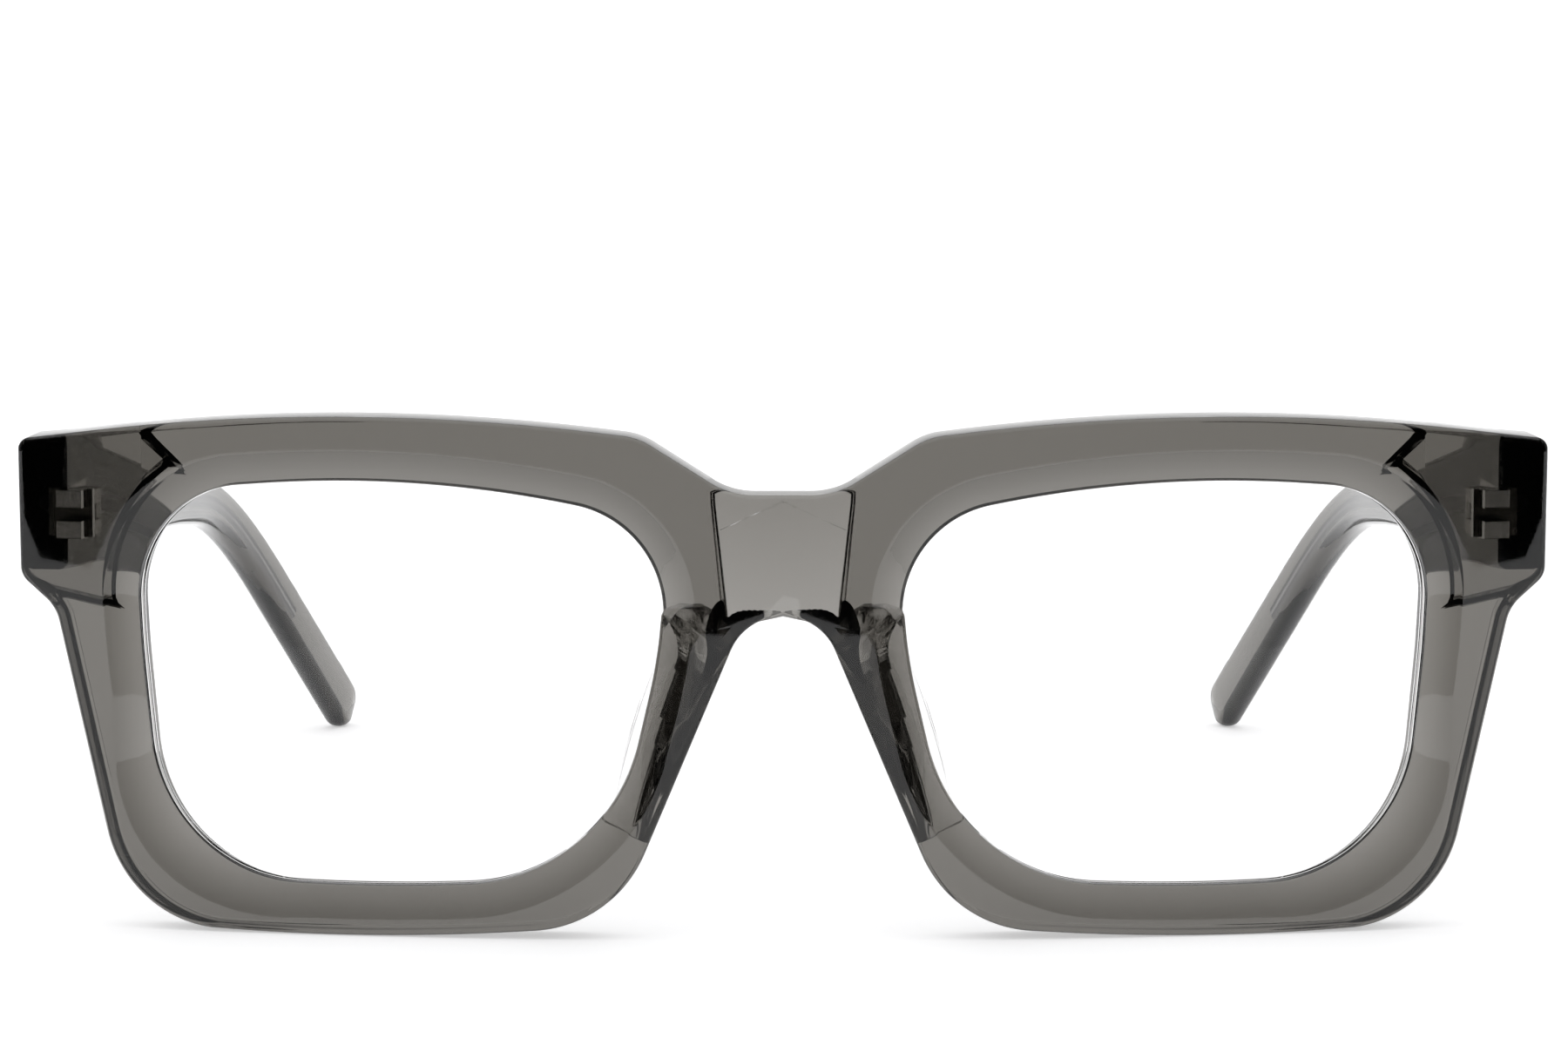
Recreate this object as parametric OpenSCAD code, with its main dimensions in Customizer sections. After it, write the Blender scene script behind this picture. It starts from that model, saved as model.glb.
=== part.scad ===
// Rectangular acetate eyeglasses, standing open on the lower rims and the temple tips.
// X runs across the face, +Y from the front towards the temple tips, +Z up.
// The front is drawn flat in (u, z) with a depth t behind its face, then bent round a vertical axis.

/* [Lens openings] */
// Width of one lens opening
lens_w = 51.5; // [46:0.5:56]
// Height of one lens opening
lens_h = 39.2; // [34:0.5:44]
// Distance between the two openings
bridge_gap = 23; // [18:0.5:26]
// Width of the sloping bevel round each opening
bevel_w = 3; // [1.5:0.1:3.2]
// Depth of that bevel at the opening
bevel_d = 1; // [0.4:0.1:1.4]

/* [Front] */
// Height of the brow above an opening
brow_h = 6.2; // [5:0.1:9]
// Height of the rim below an opening
sill_h = 5.1; // [4.6:0.1:8]
// Width from an opening to the outer side of the front
end_w = 12.2; // [11.5:0.1:15]
// Height of an end piece
end_h = 13.3; // [11:0.1:16]
// Width of the side rim at half height
side_w = 7.9; // [6.5:0.1:9]
// Drop from the brow to the top of the bridge
bridge_drop = 7.4; // [4:0.1:10]
// Height of the bridge web
bridge_h = 11.7; // [8:0.1:14]
// Thickness of the rims
front_t = 5.6; // [5:0.1:7]
// Extra thickness of the end pieces at the back
block_t = 1.2; // [0.6:0.1:2]
// Radius that the front is bent to
curve_r = 260; // [200:5:400]
// Rounding of the polished edges
edge_r = 0.7; // [0.3:0.1:1]
// Rounding of the back edge over the nose
arch_r = 1.8; // [1:0.1:2.2]
// Width of the channel in the back of the bridge, at its top
scoop_w = 13.4; // [10:0.2:15]
// Depth of that channel
scoop_d = 1.5; // [0.5:0.1:2]

/* [Lenses] */
// Lens thickness
lens_t = 1.9; // [1.6:0.1:2.4]
// Depth of the groove that holds the lens
groove_d = 0.6; // [0.4:0.1:1]
// Width of the groove
groove_w = 1.5; // [1.2:0.1:2]
// Depth of the groove's centre line behind the face, at lens centre height
groove_t = 3; // [2.6:0.1:3.2]

/* [Nose pads] */
// Length of a nose pad
pad_l = 23.5; // [16:0.5:24]
// How far a pad stands behind the front
pad_t = 4.5; // [3:0.5:8]
// Width of a pad where it meets the front
pad_w = 5.8; // [4:0.2:6]

/* [Temples] */
// Length from the hinge to the bend
temple_straight = 98; // [85:1:110]
// Length from the bend to the tip
temple_drop = 46; // [35:1:55]
// Temple thickness at the hinge
temple_t = 4.2; // [3.6:0.1:5]
// Temple thickness at the tip
tip_t = 2.8; // [2.7:0.1:4]
// Temple height just before the bend
temple_h = 5.2; // [4.8:0.1:8]
// Temple height near the tip
tip_h = 5.6; // [5:0.1:9]
// Height of the temple's centre line above the ground at the bend
bend_z = 29.5; // [27:0.5:36]
// Radius of the bend
bend_r = 40; // [25:1:60]
// Angle that the temple closes in by, up to the bend
close_in = 5.4; // [3:0.1:8]
// Angle that the tip closes in by, past the bend
tip_in = 19; // [8:0.5:22]
// Diameter of the wire core
core_d = 1.4; // [1:0.1:1.8]

/* [Hinges] */
// Height of the stack of three knuckles
stack_h = 4.4; // [4:0.1:6]
// Outer radius of a knuckle
knuckle_r = 1.3; // [1.2:0.05:1.5]
// Radius of the hinge screw
screw_r = 0.55; // [0.45:0.05:0.7]
// Width of the front plate
plate_w = 4.4; // [4.2:0.1:5]
// Thickness of the hinge plates
plate_t = 0.9; // [0.7:0.1:1.2]
// Depth of an anchor foot in the front
foot_d = 3; // [2:0.1:3.4]

/* [Hidden] */
$fn = 48;

// Clearance round a lens, a hinge plate, a foot or a core in the acetate
seat = 0.06;
// Gap between an end piece and the end of its temple, and between two knuckles
joint_gap = 0.1;
// Radial clearance of the screw in the fixed knuckles, and in the turning one
screw_fit = 0.03;
turn_fit = 0.05;
// Deviation allowed when an arc becomes chords, and the longest chord before bending
chord_sag = 0.05;
chord_max = 6.5;

// Key lines of the flat pattern, right half
nasal_u = bridge_gap / 2;
side_u = nasal_u + lens_w;
outer_u = side_u + end_w;
mid_u = nasal_u + lens_w / 2;
lens_top = sill_h + lens_h;
brow_z = lens_top + brow_h;
mid_z = sill_h + lens_h / 2;
bridge_z = brow_z - bridge_drop;
arch_z = bridge_z - bridge_h;
end_top = brow_z - 3.1;
end_low = end_top - end_h;
// Outer corner at the bottom and the place of the slanted side at half height
low_u = side_u + 1.3;
side_mid_u = side_u + side_w;
end_t = front_t + block_t;

// Corner points and radii of an opening, from the upper nasal corner clockwise
opening = [[nasal_u + 0.2, lens_top - 4, 10.5],
           [mid_u - 2, lens_top + 0.6, 110],
           [side_u + 0.8, lens_top - 1.8, 11],
           [side_u, mid_z + 3, 90],
           [side_u - 2.2, sill_h + 0.2, 15],
           [mid_u + 3, sill_h - 0.5, 200],
           [nasal_u + 5.6, sill_h + 0.6, 18],
           [nasal_u, mid_z + 5, 50]];

// Corner points and radii of the outline, from the middle of the bridge over the brow and back
outline = [[0, bridge_z, 0],
           [5, bridge_z, 8],
           [nasal_u + 2.4, brow_z - 1.9, 7],
           [mid_u + 5, brow_z + 1.3, 200],
           [outer_u, end_top, 1.2],
           [outer_u - 0.2, end_low, 2],
           [side_mid_u + 0.5, end_low - 3, 4],
           [low_u, 0.8, 12],
           [mid_u + 5, -0.5, 250],
           [nasal_u + 4.8, 1.3, 12.5],
           [3.6, arch_z, 5.3],
           [0, arch_z, 0]];

function unit(v) = v / norm(v);
function turn2(v, a) = [v[0] * cos(a) - v[1] * sin(a), v[0] * sin(a) + v[1] * cos(a)];
function mix(a, b, f) = a + (b - a) * f;
function clamp(v, low = 0, high = 1) = max(low, min(high, v));
function smooth(v) = clamp(v) * clamp(v) * (3 - 2 * clamp(v));
function flat2(p) = [p[0], p[1]];

// Points of one rounded corner at v, coming from p and leaving to n
function corner(p, v, n, r) =
    let (a = unit(p - v),
         b = unit(n - v),
         inside = acos(clamp(a * b, -1, 1)),
         bend = 180 - inside,
         side = (a[0] * b[1] - a[1] * b[0]) > 0 ? -1 : 1,
         centre = v + unit(a + b) * r / sin(inside / 2),
         from = v + a * r / tan(inside / 2) - centre,
         steps = max(1, ceil(bend / (2 * acos(1 - min(0.5, chord_sag / r))))))
    [for (k = [0:steps]) centre + turn2(from, side * bend * k / steps)];

// A path with its corners rounded; a radius of 0 keeps the point
function rounded(path) =
    let (n = len(path))
    [for (i = [0:n - 1])
        let (v = flat2(path[i]), r = path[i][2])
        each (r == 0 ? [v] : corner(flat2(path[(i + n - 1) % n]), v, flat2(path[(i + 1) % n]), r))];

// The same path with no chord longer than the limit
function divided(path, closed) =
    let (n = len(path))
    [for (i = [0:n - (closed ? 1 : 2)])
        let (a = path[i], b = path[(i + 1) % n], steps = max(1, ceil(norm(b - a) / chord_max)))
        each [for (k = [0:steps - 1]) mix(a, b, k / steps)]];

function sorted(v) =
    len(v) < 2 ? v :
    let (pivot = v[floor(len(v) / 2)])
    concat(sorted([for (x = v) if (x > pivot) x]),
           [pivot],
           sorted([for (x = v) if (x < pivot) x]));

opening_line = divided(rounded(opening), true);
outline_line = concat(divided(rounded(outline), false), [[0, arch_z]]);

// Stations are rays from the middle of an opening, in falling angle from the top of the bridge
hub = [mid_u, mid_z];
function ray_angle(p, top) = let (a = atan2(p[1] - hub[1], p[0] - hub[0])) a > top + 0.001 ? a - 360 : a;
bridge_angle = atan2(bridge_z - hub[1], -hub[0]);
arch_angle = ray_angle([0, arch_z], bridge_angle);
function on_web(a) = a < arch_angle - 0.001;
web_steps = 4;
opening_angles = [for (p = opening_line) ray_angle(p, bridge_angle)];
outline_angles = [for (p = outline_line) let (a = ray_angle(p, bridge_angle)) if (!on_web(a)) a];
web_angles = [for (k = [1:web_steps - 1]) mix(arch_angle, bridge_angle - 360, k / web_steps)];
all_angles = sorted(concat(opening_angles, outline_angles, web_angles));
min_turn = 0.9;
function near_outline(a) = min([for (b = outline_angles) abs(a - b)]) < min_turn;
angles = [for (i = [0:len(all_angles) - 1])
            let (a = all_angles[i])
            if (search(a, outline_angles) != [] || (!near_outline(a)
                && (i == 0 || all_angles[i - 1] - a > min_turn / 2)
                && a - (bridge_angle - 360) > min_turn)) a];
last_station = len(angles) - 1;

// Where a ray meets a path
function ray_hit(path, closed, a) =
    let (d = [cos(a), sin(a)],
         n = len(path),
         hits = [for (i = [0:n - (closed ? 1 : 2)])
                    let (p = path[i] - hub,
                         q = path[(i + 1) % n] - hub,
                         cp = d[0] * p[1] - d[1] * p[0],
                         cq = d[0] * q[1] - d[1] * q[0])
                    if (cp * cq <= 0 && cp != cq && (p + q) * d > 0)
                        let (f = cp / (cp - cq)) mix(p, q, f) + hub])
    hits[0];
// A path moved outwards by d, with the radii that keep it parallel
function grown_corner(p, v, n, d) =
    let (a = unit(flat2(v) - flat2(p)),
         b = unit(flat2(n) - flat2(v)),
         left = unit([-a[1], a[0]] + [-b[1], b[0]]),
         convex = a[0] * b[1] - a[1] * b[0] < 0,
         out = flat2(v) + left * d / (left * [-a[1], a[0]]))
    [out[0], out[1], max(0.2, v[2] + (convex ? d : -d))];
function grown(path, d) =
    let (n = len(path))
    [for (i = [0:n - 1]) grown_corner(path[(i + n - 1) % n], path[i], path[(i + 1) % n], d)];
// The same for the open outline, whose ends stay on the middle plane
function shrunk_outline(d) =
    let (n = len(outline))
    concat([[0, bridge_z - d, 0]],
           [for (i = [1:n - 2]) grown_corner(outline[i - 1], outline[i], outline[i + 1], -d)],
           [[0, arch_z + d, 0]]);
function opening_ring(d) =
    let (path = rounded(grown(opening, d))) [for (a = angles) ray_hit(path, true, a)];
function outline_ring(d) =
    let (path = concat(rounded(shrunk_outline(d)), [[0, arch_z + d]]))
    [for (i = [0:last_station])
        let (a = angles[i])
        on_web(a) ? [0, hub[1] - hub[0] * tan(a)] :
        i == 0 ? [0, bridge_z - d] :
        abs(a - arch_angle) < 0.001 ? [0, arch_z + d] : ray_hit(path, false, a)];

web = [for (a = angles) on_web(a)];
count = len(angles);
inner = opening_ring(0);
outer = outline_ring(0);
// Rings inside the outline that round its edges, and rings outside an opening
edge_near = outline_ring(edge_r * 0.3);
edge_far = outline_ring(edge_r);
arch_near = outline_ring(arch_r * 0.3);
arch_far = outline_ring(arch_r);
groove_ring = opening_ring(groove_d);
lip_ring = opening_ring(edge_r);
ridge_ring = opening_ring(bevel_w);
step_ring = opening_ring(bevel_w + 0.6);

// Depth of the groove, which follows the round face of the lens
function groove_at(z) = groove_t + pow(z - mid_z, 2) / (2 * curve_r);
// 1 on the thick block behind an end piece, 0 on the rims
function on_block(p) = smooth((p[0] - side_u - 0.5) / 2) * smooth((p[1] - end_low + 3.5) / 3);
// 1 on the side of an end piece, which leans out to lie in line with the temple
function on_side(p) = smooth((p[0] - side_u - end_w * 0.6) / (end_w * 0.4));
side_lean = 8;
// 1 on the arch over the nose, 0 where the pads begin
function on_arch(p) = p[1] < arch_z + 0.01 && p[0] < nasal_u ? smooth((p[1] - arch_z + 5) / 3) : 0;

function bent(u, z, t) =
    let (a = u / curve_r * 180 / PI)
    [(curve_r - t) * sin(a), curve_r - (curve_r - t) * cos(a), z];
function at(p, t) = bent(p[0], p[1], t);

// One cross-section of the half front, from the bottom of the groove over the face to the back
function section(i) =
    let (p = inner[i],
         q = outer[i],
         g = groove_at(p[1]),
         block = on_block(q),
         back = front_t + block_t * block,
         lean = [tan(side_lean) * back * block * on_side(q), 0],
         wall = web[i] ? 0 : edge_r,
         arch = web[i] ? 0 : on_arch(q),
         back_wall = mix(wall, arch_r, arch))
    [at(groove_ring[i], g),
     at(p, g - groove_w / 2),
     at(p, bevel_d),
     at(ridge_ring[i], 0),
     at(edge_far[i], 0),
     at(edge_near[i], wall * 0.3),
     at(q, wall),
     at(q + lean, back - back_wall),
     at(mix(edge_near[i], arch_near[i], arch) + lean, back - back_wall * 0.3),
     at(mix(edge_far[i], arch_far[i], arch) + lean, back),
     at(step_ring[i], back),
     at(ridge_ring[i], front_t),
     at(lip_ring[i], front_t),
     at(p, front_t - edge_r),
     at(p, g + groove_w / 2)];
ring = 15;
// Section points between these two lie in the wall round the outline
wall_from = 4;
wall_to = 9;

half = [for (i = [0:last_station]) each section(i)];
both = concat(half, [for (v = half) [-v[0], v[1], v[2]]]);
function corner_id(side, i, j) =
    let (k = (i % count) * ring + j % ring)
    side == 1 && abs(half[k][0]) > 0.0001 ? k + len(half) : k;
function flip(side, f) = side == 0 ? [f[2], f[1], f[0]] : f;
// On the web, the wall's points meet in one point at the face and one at the back
function web_wall(i, j) = (web[i % count] || web[(i + 1) % count]) && j >= wall_from && j < wall_to;

front_faces =
    [for (side = [0, 1]) for (i = [0:last_station]) for (j = [0:ring - 1])
        if (!web_wall(i, j))
            let (a = corner_id(side, i, j),
                 b = corner_id(side, i + 1, j),
                 c = corner_id(side, i + 1, j + 1),
                 d = corner_id(side, i, j + 1))
            each [flip(side, [a, b, c]), flip(side, [a, c, d])]];

// Local frame at the butt face behind an end piece: +X outwards, +Y back, +Z up
hinge_drop = 7.4;
hinge_z = end_top - hinge_drop;
butt_cut = 0.1;
axis_y = knuckle_r + 0.2;
hinge_u = outer_u - 5.1;
hinge_a = hinge_u / curve_r * 180 / PI;
hinge_p = bent(hinge_u, 0, end_t - butt_cut);
module at_butt() {
    translate([hinge_p[0], hinge_p[1], hinge_z]) rotate([0, 0, hinge_a]) children();
}
function butt_to_frame(p) =
    let (v = turn2([p[0], p[1]], hinge_a)) [hinge_p[0] + v[0], hinge_p[1] + v[1], hinge_z + p[2]];

// Layout of the front plate in that frame
plate_in = -knuckle_r;
foot_x = -0.85;
foot_w = 2.4;
foot_h = 1.6;
plate_h = stack_h + 0.2;
knuckle_h = (stack_h - 2 * joint_gap) / 3;
head_r = screw_r + 0.4;
head_h = 0.6;

module front_plate_body(grow, above = 0) {
    translate([plate_in - grow, -plate_t - grow, -plate_h / 2 - grow])
        cube([plate_w + 2 * grow, plate_t + grow + above, plate_h + 2 * grow]);
    for (s = [-1, 1])
        translate([foot_x - grow, -foot_d - plate_t - grow, s * (plate_h - foot_h) / 2 - foot_h / 2 - grow])
            cube([foot_w + 2 * grow, foot_d + 0.5, foot_h + 2 * grow]);
}

// Channel in the back of the bridge: narrower and deeper towards the nose, with leaning walls
scoop_taper = 1.3;
scoop_tilt = 4;
scoop_lean = 12;
scoop_past = 3;
function scoop_ring(z) =
    let (low = front_t - scoop_d + (z - (bridge_z + arch_z) / 2) * tan(scoop_tilt),
         half = scoop_w / 2 - scoop_taper * (bridge_z - z) / bridge_h,
         top = front_t + scoop_past,
         wide = half + (top - low) * tan(scoop_lean))
    [[-half, low, z], [half, low, z], [wide, top, z], [-wide, top, z]];
module scoop() {
    polyhedron(concat(scoop_ring(arch_z - scoop_past), scoop_ring(bridge_z + scoop_past)),
               [[0, 1, 2, 3], [7, 6, 5, 4], [0, 4, 5, 1], [1, 5, 6, 2], [2, 6, 7, 3], [3, 7, 4, 0]]);
}

module butt_face() {
    at_butt() translate([-end_w / 2, 0, -end_h]) cube([1.2 * end_w, end_t, 2 * end_h]);
}

module front_frame() {
    color([0.42, 0.41, 0.39, 0.8]) placed(0) difference() {
        polyhedron(both, front_faces, convexity = 8);
        scoop();
        for (s = [0, 1]) mirror([s, 0, 0]) {
            butt_face();
            at_butt() front_plate_body(seat, 1);
        }
    }
}

// Lens of the right side: an edge bevel that sits in the groove, between two round faces
lens_shoulder = groove_w / 2 - 0.1;
lens_inner_ring = 0.6;
function lens_point(f, i, side) =
    let (p = hub + (inner[i] - hub) * f) at(p, groove_at(p[1]) + side * lens_t / 2);
lens_edge = opening_ring(-seat);
lens_apex = opening_ring(groove_d - seat);
function lens_section(i) =
    let (p = lens_edge[i], g = groove_at(inner[i][1]))
    [lens_point(lens_inner_ring, i, -1),
     at(p, g - lens_t / 2),
     at(p, g - lens_shoulder),
     at(lens_apex[i], g),
     at(p, g + lens_shoulder),
     at(p, g + lens_t / 2),
     lens_point(lens_inner_ring, i, 1)];
lens_ring = 7;
lens_points = concat([for (i = [0:last_station]) each lens_section(i)],
                     [at(hub, groove_at(hub[1]) - lens_t / 2), at(hub, groove_at(hub[1]) + lens_t / 2)]);
function lens_id(i, j) = (i % count) * lens_ring + j;
lens_faces = [for (i = [0:last_station]) each concat(
    [for (j = [0:lens_ring - 2]) each [[lens_id(i, j + 1), lens_id(i + 1, j + 1), lens_id(i + 1, j)],
                                       [lens_id(i, j + 1), lens_id(i + 1, j), lens_id(i, j)]]],
    [[count * lens_ring, lens_id(i, 0), lens_id(i + 1, 0)],
     [lens_id(i, lens_ring - 1), count * lens_ring + 1, lens_id(i + 1, lens_ring - 1)]])];

module lens(side) {
    color([0.93, 0.96, 0.96, 0.3]) placed(side)
        polyhedron(lens_points, lens_faces, convexity = 4);
}

// Nose pad of the right side, glued along the nose side of the rim; it leans away from the nose
pad_top = 1;
pad_glue = 0.05;
pad_inset = 0.4;
// Below 1 the pad is widest in its upper part
pad_lead = 0.6;
pad_line = unit([nasal_u + 4.8 - 3.6, 1.3 - arch_z]);
pad_out = [-pad_line[1], pad_line[0]];
// Profile as shares of the base width and of the height
pad_profile = [[0.1, 0], [0.22, 0.4], [0.48, 0.8], [0.72, 0.98], [0.92, 1], [1.04, 0.9], [1.06, 0.62],
               [1.02, 0.3], [1, 0]];
pad_rings = 14;
function pad_section(k) =
    let (f = k / pad_rings,
         swell = pow(sin(180 * mix(0.035, 0.965, pow(f, pad_lead))), 0.6),
         foot = [3.6, arch_z] + pad_line * (pad_top + pad_l * f))
    [for (q = pad_profile)
        at(foot + pad_out * (pad_inset + pad_w * (0.5 + 0.5 * swell) * q[0]),
           front_t + pad_glue + pad_t * swell * q[1])];
pad_ring = len(pad_profile);
pad_points = [for (k = [0:pad_rings]) each pad_section(k)];
pad_faces = concat(
    [[for (j = [0:pad_ring - 1]) j]],
    [[for (j = [pad_ring - 1:-1:0]) pad_rings * pad_ring + j]],
    [for (k = [0:pad_rings - 1]) for (j = [0:pad_ring - 1])
        let (a = k * pad_ring + j, b = k * pad_ring + (j + 1) % pad_ring)
        each [[a, a + pad_ring, b + pad_ring], [a, b + pad_ring, b]]]);

module nose_pad(side) {
    color([0.62, 0.61, 0.6, 0.6]) placed(side) polyhedron(pad_points, pad_faces, convexity = 4);
}

// Front leaf: a plate let into the end piece, two anchor feet and the two outer knuckles
module front_hinge(side) {
    step = knuckle_h + joint_gap;
    color([0.78, 0.78, 0.8]) placed(side) at_butt() difference() {
        union() {
            front_plate_body(0);
            for (z = [-step, step]) {
                translate([0, axis_y, z - knuckle_h / 2]) cylinder(h = knuckle_h, r = knuckle_r);
                translate([-knuckle_r, -plate_t / 2, z - knuckle_h / 2])
                    cube([2 * knuckle_r, axis_y + plate_t / 2, knuckle_h]);
            }
        }
        translate([0, axis_y, -stack_h]) cylinder(h = 2 * stack_h, r = screw_r + screw_fit);
        translate([0, axis_y, stack_h / 2 - head_h]) cylinder(h = 1, r = head_r + screw_fit);
    }
}

module hinge_screw(side) {
    slot_w = 0.25;
    color([0.85, 0.85, 0.87]) placed(side) at_butt() translate([0, axis_y, 0]) difference() {
        union() {
            translate([0, 0, -stack_h / 2]) cylinder(h = stack_h - head_h / 2, r = screw_r);
            translate([0, 0, stack_h / 2 - head_h + 0.05]) cylinder(h = head_h, r = head_r);
        }
        translate([-head_r, -slot_w / 2, stack_h / 2 - slot_w]) cube([2 * head_r, slot_w, 1]);
    }
}

// Right temple: its centre line runs by a heading in plan and a slope, summed in short steps
temple_x = 3.65;
temple_start = butt_to_frame([temple_x, joint_gap, 0]);
temple_top = end_top - 0.1;
temple_low = end_low + 0.2;
temple_z = (temple_top + temple_low) / 2;
slope_up = asin((temple_z - bend_z) / temple_straight);
function slope_down(tip_z) = asin((bend_z - tip_z) / temple_drop);
temple_l = temple_straight + temple_drop;
function past_bend(s) = smooth((s - temple_straight) / bend_r + 0.5);
function heading(s) = mix(close_in, tip_in, past_bend(s));
function slope(s, tip_z) = mix(slope_up, slope_down(tip_z), past_bend(s));
function along(h, v) = [-sin(h) * cos(v), cos(h) * cos(v), -sin(v)];
function upward(h, v) = [-sin(h) * sin(v), cos(h) * sin(v), cos(v)];
function outward(h) = [cos(h), sin(h), 0];

// Distances of the rings: even steps, then closer ones round the tip
ring_step = 6;
tip_round = tip_h / 2;
tip_start = temple_l - tip_round;
rings = concat([0], [for (k = [1:floor(tip_start / ring_step) - 1]) k * ring_step],
               [tip_start - 2], [for (a = [0:18:72]) tip_start + tip_round * sin(a)], [temple_l - 0.03]);
function centre_line(tip_z) =
    [for (k = 0, p = [temple_start[0], temple_start[1], temple_z]; k < len(rings);
          k = k + 1,
          m = k < len(rings) ? (rings[k] + rings[k - 1]) / 2 : 0,
          p = k < len(rings) ? p + along(heading(m), slope(m, tip_z)) * (rings[k] - rings[k - 1]) : p) p];

// Height and thickness at a distance from the hinge; both close to a round end at the tip
end_height = temple_top - temple_low;
function tip_close(s) = s < tip_start ? 1 : sqrt(max(0.0001, 1 - pow((s - tip_start) / tip_round, 2)));
function height_at(s) =
    (s < temple_straight ? mix(end_height, temple_h, smooth(s / (temple_straight * 0.75)))
        : mix(temple_h, tip_h, smooth((s - temple_straight) / (temple_drop * 0.8)))) * tip_close(s);
function thick_at(s) = mix(temple_t, tip_t, clamp(s / temple_l)) * mix(0.35, 1, tip_close(s));
// Section with rounded corners, as offsets outwards and upwards
function section_at(w, h, r) =
    [for (c = [0:3]) for (a = [0, 45, 90])
        let (sx = c == 0 || c == 3 ? 1 : -1, sz = c < 2 ? 1 : -1, t = c * 90 + a)
        [sx * (w / 2 - r) + r * cos(t), sz * (h / 2 - r) + r * sin(t)]];
temple_edge = 0.9;
tip_edge = 1.4;
function temple_ring(p, s, tip_z) =
    let (w = thick_at(s),
         h = height_at(s),
         r = min(mix(temple_edge, tip_edge, clamp(s / temple_straight)), w * 0.45, h * 0.45))
    [for (q = section_at(w, h, r))
        p + outward(heading(s)) * q[0] + upward(heading(s), slope(s, tip_z)) * q[1]];
// The first ring is cut off by the butt plane
butt_n = [-sin(hinge_a), cos(hinge_a), 0];
butt_o = butt_to_frame([0, joint_gap, 0]);
function mitred(points, d) = [for (p = points) p - d * (((p - butt_o) * butt_n) / (d * butt_n))];
function temple_rings(tip_z) =
    let (line = centre_line(tip_z))
    [for (k = [0:len(rings) - 1])
        let (r = temple_ring(line[k], rings[k], tip_z))
        k == 0 ? mitred(r, along(heading(0), slope(0, tip_z))) : r];
function lowest(sets) = min([for (r = sets) for (p = r) p[2]]);
// The tip is set so that the temple just reaches the ground
tip_guess = 5;
tip_second = tip_guess - lowest(temple_rings(tip_guess));
tip_z = tip_second - lowest(temple_rings(tip_second));
temple_sets = temple_rings(tip_z);
temple_line = centre_line(tip_z);

// Everything is moved forwards by half the depth, so that the origin lies under the middle
centre_y = max([for (r = temple_sets) for (p = r) p[1]]) / 2;
module placed(side) {
    translate([0, -centre_y, 0]) mirror([side, 0, 0]) children();
}

// A closed skin over rings of the same number of points
module skin(sets) {
    n = len(sets[0]);
    m = len(sets);
    polyhedron([for (r = sets) each r],
        concat([[for (j = [n - 1:-1:0]) j]],
               [[for (j = [0:n - 1]) (m - 1) * n + j]],
               [for (k = [0:m - 2]) for (j = [0:n - 1])
                   let (a = k * n + j, b = k * n + (j + 1) % n)
                   each [[b + n, a + n, a], [b, b + n, a]]]), convexity = 6);
}

// Wire core and its channel along the same centre line
core_sides = 8;
core_end = 22;
function round_ring(k, r) =
    let (s = rings[k])
    [for (j = [0:core_sides - 1])
        temple_line[k] + outward(heading(s)) * r * cos(j * 360 / core_sides)
        + upward(heading(s), slope(s, tip_z)) * r * sin(j * 360 / core_sides)];
core_rings = [for (k = [0:len(rings) - 1]) if (rings[k] < temple_l - core_end) k];
function core_sets(r, reach, front) =
    let (d = along(heading(0), slope(0, tip_z)), n = len(core_rings) - 1, e = core_rings[n],
         f = along(heading(rings[e]), slope(rings[e], tip_z)))
    concat([[for (p = round_ring(0, r)) p + d * front]],
           [for (k = [1:n]) round_ring(core_rings[k], r)],
           [[for (p = round_ring(e, r)) p + f * reach]]);

// Local frame on the hinge axis with +Y along the temple
axis_p = butt_to_frame([0, axis_y, 0]);
module at_axis() {
    translate([axis_p[0], axis_p[1], hinge_z]) rotate([0, 0, close_in]) children();
}
temple_side = (temple_start - axis_p) * outward(close_in) - temple_t / 2;
leaf_l = 8.5;
arm_y = 2.6;
sink = 0.05;

module leaf_body(grow) {
    translate([temple_side + sink - grow, 1 - grow, -stack_h / 2 - grow])
        cube([plate_t + 2 * grow, leaf_l + 2 * grow, stack_h + 2 * grow]);
    translate([0, -grow, -knuckle_h / 2 - grow])
        cube([temple_side + sink + plate_t / 2, arm_y + 2 * grow, knuckle_h + 2 * grow]);
}

// Temple leaf: a plate let into the temple and the middle knuckle
module temple_hinge(side) {
    color([0.78, 0.78, 0.8]) placed(side) at_axis() difference() {
        union() {
            leaf_body(0);
            translate([0, 0, -knuckle_h / 2]) cylinder(h = knuckle_h, r = knuckle_r);
        }
        translate([0, 0, -stack_h]) cylinder(h = 2 * stack_h, r = screw_r + turn_fit);
    }
}

// The inner corner of the temple's end is bevelled
end_bevel = 1.4;
module temple(side) {
    color([0.42, 0.41, 0.39, 0.8]) placed(side) difference() {
        skin(temple_sets);
        skin(core_sets(core_d / 2 + seat, 0.5, -3));
        at_axis() leaf_body(seat);
        at_axis() translate([temple_side - 1, 1 - seat, -stack_h / 2 - seat])
            cube([1 + 2 * sink, leaf_l + 2 * seat, stack_h + 2 * seat]);
        at_axis() translate([temple_side + end_bevel, -axis_y - 0.6, 0]) rotate([0, 0, 135])
            translate([-4, 0, -end_h]) cube([8, 4, 2 * end_h]);
    }
}

module temple_core(side) {
    color([0.7, 0.7, 0.72]) placed(side) skin(core_sets(core_d / 2, 0, 0.6));
}

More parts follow.
